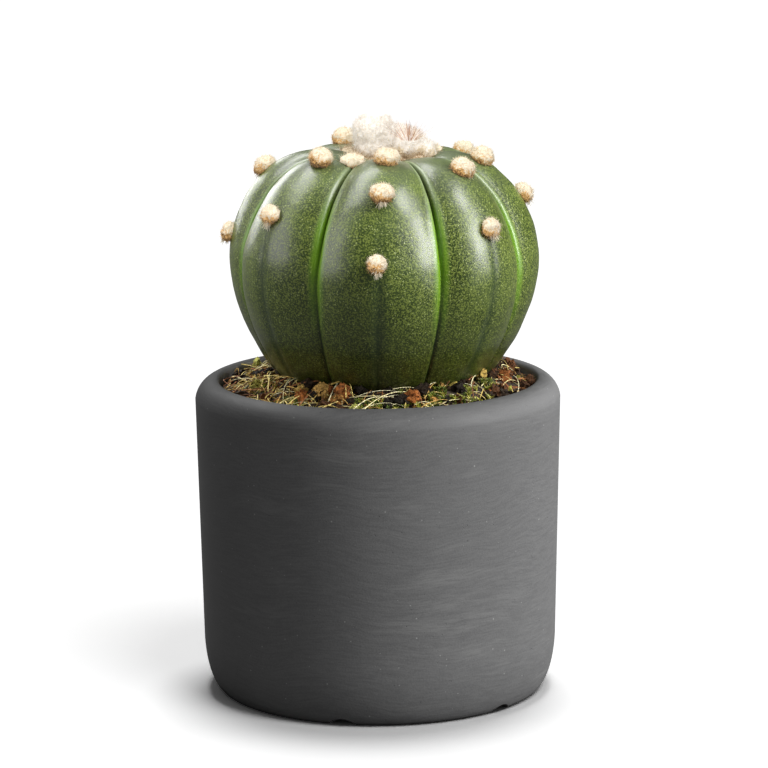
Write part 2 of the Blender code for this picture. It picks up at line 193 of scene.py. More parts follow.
def straight(first, last, steps):
    """Points between two points, both left out."""
    shares = [step / steps for step in range(1, steps)]
    return [tuple(a + (b - a) * share for a, b in zip(first, last)) for share in shares]


def pot_profile():
    """The pot's closed cross-section, from the drain hole out along the foot and round over the rim."""
    foot_x, foot_z = FOOT_ROUNDING
    corner_radius = POT_FOOT_RADIUS + (POT_RADIUS - POT_FOOT_RADIUS) / POT_HEIGHT * foot_z
    foot = arc((corner_radius - foot_x, foot_z), foot_x, foot_z, -90, 0, 20)
    half_width = (POT_RADIUS - RIM_CREST_RADIUS) / cos(radians(RIM_BREAK_ANGLE))
    half_height = RIM_DEPTH / (1 - sin(radians(RIM_BREAK_ANGLE)))
    rim_middle = (RIM_CREST_RADIUS, POT_HEIGHT - half_height)
    rim = arc(rim_middle, half_width, half_height, RIM_BREAK_ANGLE, 90, 14)
    lip_middle = (RIM_CREST_RADIUS, POT_HEIGHT - LIP_ROUNDING)
    lip = arc(lip_middle, LIP_ROUNDING, LIP_ROUNDING, 90, 180, 6)[1:]
    floor_z = FLOOR_THICKNESS + FLOOR_ROUNDING
    floor_x = wall_inside(floor_z) - FLOOR_ROUNDING
    inner = arc((floor_x, floor_z), FLOOR_ROUNDING, FLOOR_ROUNDING, 0, -90, 6)
    return [
        (DRAIN_RADIUS, FOOT_RECESS_DEPTH),
        (FOOT_RECESS_RADIUS - FOOT_RECESS_DEPTH, FOOT_RECESS_DEPTH),
        (FOOT_RECESS_RADIUS, 0.0),
        *foot,
        *straight(foot[-1], rim[0], 18),
        *rim,
        *lip,
        *inner,
        (DRAIN_RADIUS, FLOOR_THICKNESS),
    ]


def turned(profile, steps, closed):
    """A bmesh spun from a line of (radius, height) points, which ends on the axis or is closed. Each
    point's number along the line stays with its copies as their station."""
    bm = bmesh.new()
    station = bm.verts.layers.float.new("station")
    line = [bm.verts.new((0.0, -radius, height)) for radius, height in profile]
    for number, vert in enumerate(line):
        vert[station] = number
    edges = [bm.edges.new(pair) for pair in zip(line, line[1:])]
    if closed:
        edges.append(bm.edges.new((line[-1], line[0])))
    bmesh.ops.spin(
        bm, geom=line + edges, cent=(0, 0, 0), axis=(0, 0, 1), angle=tau, steps=steps,
        use_merge=True, use_duplicate=False,
    )
    bmesh.ops.remove_doubles(bm, verts=bm.verts, dist=1e-6)
    bmesh.ops.recalc_face_normals(bm, faces=bm.faces)
    return bm


def settled(obj):
    """The mesh of an object as its modifiers shape it."""
    graph = bpy.context.evaluated_depsgraph_get()
    return bpy.data.meshes.new_from_object(obj.evaluated_get(graph))


def cut_out(obj, cutter, material, solver="EXACT"):
    """Cuts the cutter from the object for good, removes it and gives the object its material."""
    modifier = obj.modifiers.new("cut", "BOOLEAN")
    modifier.operation = "DIFFERENCE"
    modifier.object = cutter
    modifier.solver = solver
    mesh = settled(obj)
    mesh.materials.clear()
    mesh.materials.append(material)
    mesh.shade_smooth()
    obj.modifiers.clear()
    obj.data = mesh
    bpy.data.objects.remove(cutter)


def fade(tree, value, low, high, first=0.0, last=1.0):
    """A soft step of a value between low and high, from first to last."""
    inputs = {"Value": value, "From Min": low, "From Max": high, "To Min": first, "To Max": last}
    return add(tree, "MapRange", inputs, interpolation_type="SMOOTHSTEP").outputs["Result"]


def worked(tree, operation, first, second=0.0):
    """One step of arithmetic on values."""
    return add(tree, "Math", {0: first, 1: second}, operation=operation).outputs[0]


def product(tree, first, *others):
    """The product of values."""
    for other in others:
        first = worked(tree, "MULTIPLY", first, other)
    return first


def laid_over(tree, colour, coat, *masks):
    """A colour with another one over it, by the product of some masks."""
    return mixed(tree, product(tree, *masks), colour, coat)


def cloud(tree, place, scale, detail=2.0, roughness=0.5):
    """A cloudy value from 0 to 1, with scale clouds to the metre."""
    inputs = {"Vector": place, "Scale": scale, "Detail": detail, "Roughness": roughness}
    return add(tree, "TexNoise", inputs).outputs[0]


# The group of scattered dots, of uneven size: Scale is the cells to the metre, Size a dot's radius as
# a share of its cell, and Share the part of the cells that have one.
dots = bpy.data.node_groups.new("scattered_dots", "ShaderNodeTree")
dots.interface.new_socket("Place", in_out="INPUT", socket_type="NodeSocketVector")
for label in ("Scale", "Size", "Share"):
    dots.interface.new_socket(label, in_out="INPUT", socket_type="NodeSocketFloat")
dots.interface.new_socket("Mask", in_out="OUTPUT", socket_type="NodeSocketFloat")
given = dots.nodes.new("NodeGroupInput").outputs
cells = add(dots, "TexVoronoi", {"Vector": given["Place"], "Scale": given["Scale"]}).outputs
chance = add(dots, "SeparateColor", {"Color": cells["Color"]}).outputs
radius = product(dots, given["Size"], worked(dots, "ADD", chance[1], 0.45))
dot = fade(dots, cells["Distance"], radius, product(dots, radius, 0.5))
mask = product(dots, dot, worked(dots, "LESS_THAN", chance[0], given["Share"]))
dots.links.new(mask, dots.nodes.new("NodeGroupOutput").inputs["Mask"])


def dotted(tree, place, scale, size, share):
    """The mask of scattered dots at a scale."""
    inputs = {"Place": place, "Scale": scale, "Size": size, "Share": share}
    return add(tree, "Group", inputs, node_tree=dots).outputs["Mask"]


def streaked(tree, place, around, up):
    """Streaks that run level round the pot: around and up are the streaks to the metre each way."""
    parts = add(tree, "SeparateXYZ", {0: place}).outputs
    drift = product(tree, worked(tree, "SUBTRACT", cloud(tree, place, 24.0, 2.0), 0.5), 0.014)
    height = product(tree, worked(tree, "ADD", parts[2], drift), up)
    inputs = {0: product(tree, parts[0], around), 1: product(tree, parts[1], around), 2: height}
    return cloud(tree, add(tree, "CombineXYZ", inputs).outputs[0], 1.0, 4.0, 0.62)


def coloured(tree, shader, colour, relief, strength, depth):
    """Gives a shader its colour and a fine relief, of a depth in metres."""
    tree.links.new(colour, shader.inputs["Base Color"])
    bump = add(tree, "Bump", {"Height": relief, "Strength": strength, "Distance": depth})
    tree.links.new(bump.outputs["Normal"], shader.inputs["Normal"])


def charcoal_clay():
    material, tree, shader = new_material("charcoal_clay", 0.66)
    place = add(tree, "TexCoord").outputs["Object"]
    broad = streaked(tree, place, 42.0, 260.0)
    fine = streaked(tree, place, 190.0, 2300.0)
    grain = cloud(tree, place, 2600.0, 3.0)
    patches = fade(tree, cloud(tree, place, 30.0, 3.0), 0.42, 0.66)
    streak = worked(tree, "ADD", product(tree, grain, 0.45), product(tree, fine, 0.55))
    colour = mixed(tree, fade(tree, streak, 0.34, 0.66), CLAY_DARK, CLAY_LIGHT)
    wiped = fade(tree, broad, 0.50, 0.68)
    thinned = fade(tree, fine, 0.30, 0.62, 0.2, 0.42)
    colour = laid_over(tree, colour, CLAY_DUST, wiped, patches, thinned)
    colour = laid_over(tree, colour, CLAY_SPECK, dotted(tree, place, 700.0, 0.13, 0.16), 0.6)
    # Pinholes sunk into the relief, painted dark as the shade inside them.
    shaded_pits = dotted(tree, place, 950.0, 0.15, 0.10)
    colour = laid_over(tree, colour, CLAY_PIT_SHADE, shaded_pits, 0.5)
    tree.links.new(fade(tree, streak, 0.3, 0.7, 0.56, 0.76), shader.inputs["Roughness"])
    relief = worked(tree, "ADD", product(tree, fine, 0.5), product(tree, grain, 0.5))
    coloured(tree, shader, colour, worked(tree, "SUBTRACT", relief, shaded_pits), 0.5, 0.00010)
    return material


clay_pot = object_from("clay_pot", turned(pot_profile(), POT_STEPS, closed=True))
arch_radius = ((NOTCH_WIDTH / 2) ** 2 + NOTCH_HEIGHT**2) / (2 * NOTCH_HEIGHT)
notch_ends = (FOOT_RECESS_RADIUS - NOTCH_OVERSHOOT, POT_RADIUS + NOTCH_OVERSHOOT)
bm = bmesh.new()
for number in range(NOTCH_COUNT):
    outward = direction(NOTCH_FIRST_ANGLE + 360 * number / NOTCH_COUNT)
    middle = outward * sum(notch_ends) / 2 + Vector((0, 0, NOTCH_HEIGHT - arch_radius))
    bmesh.ops.create_cone(
        bm,
        cap_ends=True,
        segments=NOTCH_SIDES,
        radius1=arch_radius,
        radius2=arch_radius,
        depth=notch_ends[1] - notch_ends[0],
        matrix=Matrix.Translation(middle) @ outward.to_track_quat("Z", "Y").to_matrix().to_4x4(),
    )
cut_out(clay_pot, object_from("notches", bm), charcoal_clay())
clay_pot.data.set_sharp_from_angle(angle=radians(POT_EDGE_ANGLE))
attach(clay_pot, "root")
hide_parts("pot")

# The plant's body: one swollen green stem with eight broad ribs that roll into narrow grooves and
# meet under the crown. Its waxy skin is peppered with pale flecks and goes corky olive at the foot,
# where it is also painted darker as the shade near the mix.
PLANT_MIDDLE = Vector((0.0019, 0.0, 0.109))
PLANT_LEAN = 2.0
RIDGE_LINE = (
    (0.0, -0.0405),
    (0.009, -0.0394),
    (0.016, -0.0370),
    (0.0215, -0.0338),
    (0.0258, -0.0302),
    (0.0290, -0.0265),
    (0.0328, -0.0203),
    (0.0354, -0.0142),
    (0.0372, -0.0080),
    (0.0380, -0.0015),
    (0.0374, 0.0040),
    (0.0352, 0.0108),
    (0.0316, 0.0170),
    (0.0265, 0.0219),
    (0.0210, 0.0244),
    (0.0150, 0.0251),
    (0.0090, 0.0242),
    (0.0040, 0.0228),
    (0.0, 0.0223),
)
RIDGE_ANGLES = (-2, 44, 88, 133, 178, 223, 266, 309)
GROOVE_ANGLES = (22.5, 66, 110.5, 155.5, 200.5, 245, 284, 333)
GROOVE_DEPTH = 0.0038
GROOVE_OPENING = (0.0, 0.030)
GROOVE_FADING = (0.028, 0.098)
GROOVE_FADED = 0.82
GROOVE_FLATNESS = (0.35, 0.10)
GROOVE_ROUNDING = (0.018, 0.042)
SKIN_ROWS = 180
RIB_COLUMNS = 62
CREASE_DEPTH = 0.00090
CREASE_EDGE = 0.950
CREASE_OPENING = (0.004, 0.014)
CREASE_CLOSING = (0.032, 0.060)
CREASE_CLOSED = 0.78
SHOULDER_ROLL = 0.00034
SHOULDER_EDGES = (0.80, 0.93, 0.985)
KEEL_FOLD = 0.00022
KEEL_WIDTH = 0.12
KEEL_STARTS = (0.036, 0.056)
SKIN_WAVES = ((55.0, 0.00045), (190.0, 0.00012), (900.0, 0.00003))     # to the metre, and height
SKIN_GREEN = (0.022, 0.040, 0.004)
SKIN_LIGHT = (0.044, 0.073, 0.008)
# Of the colours below, the foot's is partly painted shade, and those of the grooves' glow, creases, lips and
# keels are painted light and shade.
SKIN_CORK_AND_SHADE = (0.018, 0.021, 0.001)
SKIN_VIVID_GLOW = (0.150, 0.325, 0.004)
SKIN_CREASE_SHADE = (0.006, 0.022, 0.001)
SKIN_LIP_HIGHLIGHT = (0.30, 0.38, 0.19)
SKIN_GRAIN = (0.188, 0.238, 0.036)
SKIN_FLECK = (0.40, 0.46, 0.16)
SKIN_KEEL_SHADE = (0.014, 0.030, 0.010)
SKIN_BLOOM = (0.115, 0.135, 0.085)

plant_frame = Matrix.Translation(PLANT_MIDDLE) @ Matrix.Rotation(radians(PLANT_LEAN), 4, "Y")


def ridge_points(rows):
    """The ridge line of a rib drawn smooth, as rows of (radius, height, distance to the growing point)."""
    line = [Vector((radius, 0.0, height)) for radius, height in RIDGE_LINE]
    before = Vector((-line[1].x, 0.0, line[1].z))
    after = Vector((-line[-2].x, 0.0, line[-2].z))
    line = [before] + line + [after]
    fine = []
    steps = 24
    for number in range(len(RIDGE_LINE) - 1):
        p0, p1, p2, p3 = line[number : number + 4]
        for step in range(steps):
            u = step / steps
            slope = (p2 - p0) * u + (2 * p0 - 5 * p1 + 4 * p2 - p3) * u**2
            fine.append(p1 + 0.5 * (slope + (3 * p1 - p0 - 3 * p2 + p3) * u**3))
    fine.append(line[-2])
    run = [0.0]
    for here, there in zip(fine, fine[1:]):
        run.append(run[-1] + (there - here).length)
    total = run[-1]
    found = []
    number = 0
    for distance in [total * row / rows for row in range(rows + 1)]:
        while number < len(run) - 2 and run[number + 1] < distance:
            number += 1
        share = (distance - run[number]) / (run[number + 1] - run[number])
        point = fine[number].lerp(fine[number + 1], min(1.0, share))
        found.append((max(0.0, point.x), point.z, total - distance))
    return found


def ridge_out(rows, number):
    """The way out of the ridge line at a row, as (radius, height)."""
    if number in (0, len(rows) - 1):
        return Vector((0.0, -1.0 if number == 0 else 1.0))
    below, above = rows[number - 1], rows[number + 1]
    along = Vector((above[0] - below[0], above[1] - below[1])).normalized()
    return Vector((along.y, -along.x))


def rib_place(turns):
    """Angle and groove share at a number of ribs round from the front ridge: the share is 0 on a ridge
    and 1 in a groove, and even steps of turns crowd towards the grooves."""
    rib = int(turns) % len(RIDGE_ANGLES)
    part = turns - int(turns)
    ridge, groove = RIDGE_ANGLES[rib], GROOVE_ANGLES[rib]
    following = RIDGE_ANGLES[(rib + 1) % len(RIDGE_ANGLES)]
    while following < groove:
        following += 360
    share = 1 - (1 - min(1.0, 2 * part)) ** 1.5 if part <= 0.5 else 1 - (2 * part - 1) ** 1.5
    if part <= 0.5:
        return ridge + (groove - ridge) * share, share
    return following - (following - groove) * share, share


def uneven(place, waves):
    """How far a surface stands out at a place: its waves are lumps to the metre, and their height."""
    return sum(noise.noise(place * scale) * height for scale, height in waves)


def groove_sink(share, distance):
    """How deep the skin lies under the ridge line, at a groove share and a distance to the growing point."""
    depth = GROOVE_DEPTH * smoothstep(*GROOVE_OPENING, distance)
    depth *= 1 - GROOVE_FADED * smoothstep(*GROOVE_FADING, distance)
    sharp, blunt = GROOVE_FLATNESS
    flatness = sharp - (sharp - blunt) * smoothstep(*GROOVE_ROUNDING, distance)
    sink = depth * ((1 - flatness) * share**2 + flatness * share**6)
    opened = 1 - CREASE_CLOSED * smoothstep(*CREASE_CLOSING, distance)
    opened *= smoothstep(*CREASE_OPENING, distance)
    sink += CREASE_DEPTH * opened * smoothstep(CREASE_EDGE, 1.0, share) ** 1.2
    sink += KEEL_FOLD * smoothstep(*KEEL_STARTS, distance) * (1 - smoothstep(0.0, KEEL_WIDTH, share))
    inner, crest, outer = SHOULDER_EDGES
    roll = smoothstep(inner, crest, share) * (1 - smoothstep(crest, outer, share))
    return sink - SHOULDER_ROLL * opened * roll


def skin_mesh():
    """The ribbed body in the world, with each point's groove share and distance to the growing point."""
    rows = ridge_points(SKIN_ROWS)
    outs = [ridge_out(rows, number) for number in range(len(rows))]
    columns = RIB_COLUMNS * len(RIDGE_ANGLES)
    bm = turned([(radius, height) for radius, height, _ in rows], columns, closed=False)
    station = bm.verts.layers.float["station"]
    share_layer = bm.verts.layers.float.new("share")
    along_layer = bm.verts.layers.float.new("along")
    for vert in bm.verts:
        row = round(vert[station])
        radius, height, distance = rows[row]
        column = round(atan2(vert.co.x, -vert.co.y) / tau * columns) % columns
        angle, share = rib_place(column / RIB_COLUMNS)
        vert[share_layer] = share
        vert[along_layer] = distance
        if row in (0, len(rows) - 1):
            continue
        level = direction(angle)
        spot = level * radius + Vector((0, 0, height))
        out = uneven(spot, SKIN_WAVES) * smoothstep(0.0, 0.012, distance) - groove_sink(share, distance)
        vert.co = level * (radius + out * outs[row].x)
        vert.co.z = height + out * outs[row].y
    bm.transform(plant_frame)
    return bm


def carried(tree, name):
    """The value that a piece's points carry under a name."""
    return add(tree, "Attribute", attribute_name=name).outputs["Fac"]


def green_skin():
    material, tree, shader = new_material("green_skin", 0.38)
    shader.inputs["Coat Weight"].default_value = 0.34
    shader.inputs["Coat Roughness"].default_value = 0.26
    place = add(tree, "TexCoord").outputs["Object"]
    share = carried(tree, "share")
    along = carried(tree, "along")
    clouds = cloud(tree, place, 120.0, 4.0, 0.6)
    grains = cloud(tree, place, 2500.0, 3.0, 0.6)
    level = worked(tree, "ADD", along, product(tree, worked(tree, "SUBTRACT", clouds, 0.5), 0.03))
    colour = mixed(tree, fade(tree, clouds, 0.36, 0.66), SKIN_GREEN, SKIN_LIGHT)
    # The foot: a corky olive, painted darker as well, as the shade near the mix.
    colour = laid_over(tree, colour, SKIN_CORK_AND_SHADE, fade(tree, level, 0.052, 0.090))
    under_crown = fade(tree, level, 0.010, 0.040, 0.45)
    fading = product(tree, fade(tree, level, 0.104, 0.046, 0.08), 0.9, under_crown)
    speckled = product(tree, fade(tree, grains, 0.475, 0.565), fading)
    colour = laid_over(tree, colour, SKIN_GRAIN, speckled, 0.8)
    flecks = product(tree, dotted(tree, place, 1700.0, 0.28, 0.55), fading)
    colour = laid_over(tree, colour, SKIN_FLECK, flecks, 0.75)
    colour = laid_over(tree, colour, SKIN_BLOOM, fade(tree, level, 0.040, 0.012, 0.0, 0.55))
    # Painted shade: a dark band down each ridge's keel fold, from mid-height down.
    keel_shade = fade(tree, along, 0.030, 0.056)
    colour = laid_over(tree, colour, SKIN_KEEL_SHADE, fade(tree, share, 0.20, 0.0, 0.0, 0.5), keel_shade)
    # The grooves' brighter green at mid-height, partly a painted glow of light through the thin flesh.
    girth = product(tree, fade(tree, along, 0.028, 0.042), fade(tree, along, 0.074, 0.046))
    colour = laid_over(tree, colour, SKIN_VIVID_GLOW, fade(tree, share, 0.82, 0.965, 0.0, 0.80), girth)
    # Painted highlight: a pale band along the groove lips, strongest near the crown.
    roll = product(tree, fade(tree, share, 0.82, 0.92), fade(tree, share, 0.975, 0.935))
    colour = laid_over(tree, colour, SKIN_LIP_HIGHLIGHT, roll, fade(tree, level, 0.050, 0.016, 0.0, 0.6))
    # Painted shade: a thin dark line on the keel fold, broken up by the clouds.
    broken_up = fade(tree, clouds, 0.40, 0.55)
    thin_keel_shade = fade(tree, share, 0.03, 0.0, 0.0, 0.5)
    colour = laid_over(tree, colour, SKIN_CREASE_SHADE, thin_keel_shade, broken_up, keel_shade)
    # Painted shade: a dark line in the grooves' creases, near the crown and towards the foot.
    low_crease_shade = fade(tree, along, 0.056, 0.070, 0.0, 0.8)
    crease_shade_heights = worked(tree, "MAXIMUM", fade(tree, along, 0.046, 0.028), low_crease_shade)
    colour = laid_over(tree, colour, SKIN_CREASE_SHADE, fade(tree, share, 0.970, 0.990, 0.0, 0.95), crease_shade_heights)
    smoothness = fade(tree, clouds, 0.3, 0.7, 0.32, 0.42)
    roughness = worked(tree, "ADD", smoothness, product(tree, speckled, 0.10))
    tree.links.new(roughness, shader.inputs["Roughness"])
    relief = worked(tree, "ADD", grains, product(tree, flecks, 0.5))
    coloured(tree, shader, colour, relief, 0.6, 0.00010)
    return material


cactus_skin = object_from("cactus_skin", skin_mesh(), green_skin())
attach(cactus_skin, "root")
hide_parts("cactus")

# The tufts: at each bud place along a ridge sits a round cushion of felted wool, cream above and
# stained tan below, with loose hairs all over it and a short white beard at its lower edge. Each is
# given by its distance to the growing point and how far it strays from its ridge.
TUFTS = (
    ((0.0190, 2), (0.0325, 0), (0.0498, -1)),
    ((0.0254, 2), (0.0420, 0)),
    ((0.0236, -4), (0.0369, 5)),
    ((0.0270, 0), (0.0460, 0)),
    ((0.0155, 0), (0.0310, 0), (0.0480, 0)),
    ((0.0180, -6), (0.0360, 0), (0.0500, 0)),
    ((0.0312, -3), (0.0489, 2)),
    ((0.0224, 5), (0.0406, 0)),
)
TUFT_RADIUS = 0.0030
TUFT_SHRINK = 0.025
TUFT_FULL_DISTANCE = 0.0190
TUFT_HEIGHT = 0.82
TUFT_LIFT = 0.35
TUFT_WIDTHS = (0.94, 1.08)
TUFT_STAINS = (0.85, 1.25)
FELT_LUMPS = (430, 0.13)                                 # to the metre, and height as a share of the size
FELT_GRAINS = ((1500, 0.00036), (2300, 0.00024))         # to the metre, and height
TUFT_HAIRS = 620
HAIR_RADIUS = 0.000035
TUFT_HAIR_LENGTHS = (0.0003, 0.0009)
BEARD_HAIRS = 46
BEARD_LENGTHS = (0.0008, 0.0020)
BEARD_RADIUS = 0.00008
WOOL_CREAM = (0.86, 0.77, 0.60)
WOOL_TAN = (0.74, 0.44, 0.16)
WOOL_BROWN = (0.22, 0.11, 0.035)


def ridge_place(rib, distance, stray):
    """A point by a rib's ridge and the way out of the skin there, in the world."""
    rows = ridge_points(SKIN_ROWS)
    row = min(range(1, len(rows) - 1), key=lambda number: abs(rows[number][2] - distance))
    out = ridge_out(rows, row)
    level = direction(RIDGE_ANGLES[rib] + stray)
    place = level * rows[row][0] + Vector((0, 0, rows[row][1]))
    return plant_frame @ place, plant_frame.to_3x3() @ (level * out.x + Vector((0, 0, out.y)))


def felted(bm, middle, half_sizes, turn, stain):
    """Adds a lump of felted wool to a bmesh: a ball, stretched and turned, uneven and grainy. Its tint
    goes up from where it faces the sky to its underside, by as much as it is stained."""
    tint = bm.verts.layers.float["tint"]
    size = sum(half_sizes) / 3
    for vert in bmesh.ops.create_icosphere(bm, subdivisions=4, radius=1.0)["verts"]:
        out = (turn @ vert.co).normalized()
        place = middle + turn @ Vector(a * b for a, b in zip(vert.co, half_sizes))
        swell = noise.noise(place * FELT_LUMPS[0]) * FELT_LUMPS[1] * size
        grains = uneven(place, FELT_GRAINS)
        vert.co = place + out * (swell + grains)
        hidden = -out.z - 0.35 * out.x + 0.5 * noise.noise(place * 800) - 1000 * grains
        vert[tint] = smoothstep(-0.45, 0.9, hidden) * stain


def any_way(draw):
    """A random vector that is as likely to point one way as any other."""
    return Vector((draw.gauss(0, 1), draw.gauss(0, 1), draw.gauss(0, 1)))


def on_surface(mesh, count, draw):
    """Random places on a mesh, even over its area, with the way out of the surface and the tint there."""
    faces = list(mesh.polygons)
    tint = mesh.attributes["tint"].data
    for face in draw.choices(faces, weights=[face.area for face in faces], k=count):
        corners = [mesh.vertices[number].co for number in face.vertices[:3]]
        u, v = draw.random(), draw.random()
        if u + v > 1:
            u, v = 1 - u, 1 - v
        place = corners[0] + (corners[1] - corners[0]) * u + (corners[2] - corners[0]) * v
        yield place, face.normal.copy(), tint[face.vertices[0]].value


def stem_template(sides, sections, tip):
    """A thin stem of radius 1 that rises from 0 to 1 on Z and narrows to a tip."""
    bm = bmesh.new()
    bmesh.ops.create_cone(
        bm, cap_ends=True, segments=sides, radius1=1.0, radius2=tip, depth=1.0,
        matrix=Matrix.Translation((0, 0, 0.5)),
    )
    upright = [edge for edge in bm.edges if abs(edge.verts[0].co.z - edge.verts[1].co.z) > 0.5]
    bmesh.ops.subdivide_edges(bm, edges=upright, cuts=sections - 1)
    return mesh_from("stem", bm)


def arched(start, end, arch, radius):
    """The matrix and the sag that lay a stem from start to end, arched by a vector at its middle."""
    way = end - start + 4 * arch
    side = way.orthogonal().normalized() * radius
    other = way.cross(side).normalized() * radius
    matrix = Matrix((side, other, way)).transposed().to_4x4()
    return Matrix.Translation(start) @ matrix, -4 * arch


def strewn(template, copies):
    """A mesh of many copies of a small mesh, each a matrix, a sag and a tint. The sag grows with the
    square of the height in the template, so it bends a straight stem. Reach is that height."""
    points = np.array([vert.co for vert in template.vertices])
    places = np.array([matrix for matrix, _, _ in copies])
    sags = np.array([sag for _, sag, _ in copies])
    moved = np.einsum("nij,pj->npi", places[:, :3, :3], points) + places[:, None, :3, 3]
    moved += sags[:, None, :] * (points[:, 2] ** 2)[None, :, None]
    corners = [tuple(face.vertices) for face in template.polygons]
    faces = [
        tuple(corner + number * len(points) for corner in face)
        for number in range(len(copies))
        for face in corners
    ]
    mesh = bpy.data.meshes.new("strewn")
    mesh.from_pydata(moved.reshape(-1, 3).tolist(), [], faces)
    tints = np.repeat([tint for _, _, tint in copies], len(points))
    mesh.attributes.new("tint", "FLOAT", "POINT").data.foreach_set("value", tints)
    reach = np.tile(points[:, 2], len(copies))
    mesh.attributes.new("reach", "FLOAT", "POINT").data.foreach_set("value", reach)
    return mesh


def gathered(name, meshes, material):
    """One object of several meshes."""
    bm = bmesh.new()
    for mesh in meshes:
        bm.from_mesh(mesh)
    return object_from(name, bm, material, sharp=60)


def cream_wool(name, cream, tan, brown):
    """Wool that goes from cream over tan to brown with the tint, with a grainy felt in it."""
    material, tree, shader = new_material(name, 0.95)
    shader.inputs["Sheen Weight"].default_value = 0.25
    shader.inputs["Specular IOR Level"].default_value = 0.2
    place = add(tree, "TexCoord").outputs["Object"]
    grains = cloud(tree, place, 2700.0, 2.0, 0.6)
    shifted = product(tree, worked(tree, "SUBTRACT", grains, 0.5), 2.3)
    stain = worked(tree, "ADD", carried(tree, "tint"), shifted)
    colour = mixed(tree, fade(tree, stain, 0.02, 0.58), cream, tan)
    colour = laid_over(tree, colour, brown, fade(tree, stain, 0.66, 1.15))
    colour = laid_over(tree, colour, tan, fade(tree, grains, 0.44, 0.26, 0.0, 0.30))
    coloured(tree, shader, colour, grains, 0.8, 0.0003)
    return material


tuft_wool = cream_wool("tuft_wool", WOOL_CREAM, WOOL_TAN, WOOL_BROWN)
draw = random.Random(11)
felt = bmesh.new()
felt.verts.layers.float.new("tint")
hairs = []
for rib, tufts_of_rib in enumerate(TUFTS):
    for distance, stray in tufts_of_rib:
        spot, out = ridge_place(rib, distance, stray)
        radius = TUFT_RADIUS - TUFT_SHRINK * (distance - TUFT_FULL_DISTANCE)
        middle = spot + out * radius * TUFT_LIFT
        turn = out.to_track_quat("Z", "Y").to_matrix()
        wide = draw.uniform(*TUFT_WIDTHS)
        half_sizes = (radius * wide, radius / wide, radius * TUFT_HEIGHT)
        felted(felt, middle, half_sizes, turn, draw.uniform(*TUFT_STAINS))
        chin = (out * 0.45 - Vector((0, 0, 1))).normalized()
        for _ in range(BEARD_HAIRS):
            away = any_way(draw)
            root = middle + (chin + away * 0.18).normalized() * radius * 0.85
            tip = root + (chin + away * 0.28).normalized() * draw.uniform(*BEARD_LENGTHS)
            hairs.append((*arched(root, tip, Vector((0, 0, 0.00005)), BEARD_RADIUS), -0.6))
tuft_felt = object_from("tuft_felt", felt, tuft_wool)
for spot, out, tint in on_surface(tuft_felt.data, TUFT_HAIRS * sum(map(len, TUFTS)), draw):
    away = any_way(draw)
    tip = spot + (out + away * 0.55).normalized() * draw.uniform(*TUFT_HAIR_LENGTHS)
    hairs.append((*arched(spot, tip, away * 0.00004, HAIR_RADIUS), tint * 0.9))
tuft_hairs = gathered("tuft_hairs", [strewn(stem_template(3, 2, 0.3), hairs)], tuft_wool)
wool = [tuft_felt, tuft_hairs]
for piece in wool:
    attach(piece, "root")
    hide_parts("cactus")

# The crown: a mat of wool in the sunken top, brown where it is old, with two flower buds pushing
# through it. The tall bud is a pale woolly knob, and the second leans right under a fan of bristles.
WOOL_MAT = (
    ((0.0, 0.0, 0.0220), (0.0118, 0.0118, 0.0026), 0),
    ((-0.0078, -0.0050, 0.0228), (0.0032, 0.0030, 0.0026), 0),
    ((0.0004, -0.0082, 0.0226), (0.0040, 0.0026, 0.0024), 0),
    ((0.0080, -0.0060, 0.0228), (0.0032, 0.0030, 0.0024), 0),
    ((-0.0088, 0.0034, 0.0230), (0.0032, 0.0038, 0.0026), 0),
    ((0.0096, 0.0024, 0.0230), (0.0034, 0.0038, 0.0024), 0),
)
WOOL_PADS = (
    ((-0.0083, -0.0140, 0.0242), (0.0034, 0.0026, 0.0021), 0),
    ((0.0105, 0.0085, 0.0240), (0.0036, 0.0032, 0.0020), 0),
)
TALL_BUD = (
    ((-0.0034, -0.0005, 0.0262), (0.0046, 0.0044, 0.0046), 0),
    ((-0.0036, -0.0005, 0.0298), (0.0049, 0.0046, 0.0045), -6),
    ((-0.0030, 0.0002, 0.0314), (0.0043, 0.0041, 0.0032), 8),
    ((-0.0006, 0.0000, 0.0282), (0.0040, 0.0040, 0.0042), 12),
)
SECOND_BUD = (
    ((0.0050, -0.0005, 0.0266), (0.0048, 0.0046, 0.0046), 18),
    ((0.0088, -0.0002, 0.0250), (0.0036, 0.0040, 0.0034), 38),
    ((0.0030, 0.0005, 0.0284), (0.0032, 0.0034, 0.0034), 0),
)
CROWN_VOXEL = 0.00032
CROWN_HAIRS = {"wool_mat": 5200, "wool_pads": 700, "tall_bud": 5600, "second_bud": 3800}
CROWN_HAIR_LENGTHS = (0.0003, 0.0014)
MAT_HAIR_LENGTHS = (0.0006, 0.0022)
CROWN_TOP = 0.1430
CROWN_SINK = 0.0002
CROWN_WAVES = ((380, 0.00034), (900, 0.00034), (3600, 0.00009))      # to the metre, and height
CROWN_GRAIN = (2400, 520, 0.00012)                     # to the metre across and up, and height
BRISTLE_COUNT = 72
BRISTLE_RADIUS = 0.00005
BRISTLE_LENGTHS = (0.0028, 0.0062)
BRISTLE_SPREAD = 62
BRISTLE_ROOT = Vector((0.0052, -0.0036, 0.0284))
BUD_WHITE = (0.93, 0.885, 0.83)
BUD_CREAM = (0.80, 0.68, 0.48)
BUD_TAN = (0.34, 0.19, 0.07)
BRISTLE_PINK = (0.50, 0.22, 0.15)
BRISTLE_DARK = (0.10, 0.055, 0.04)


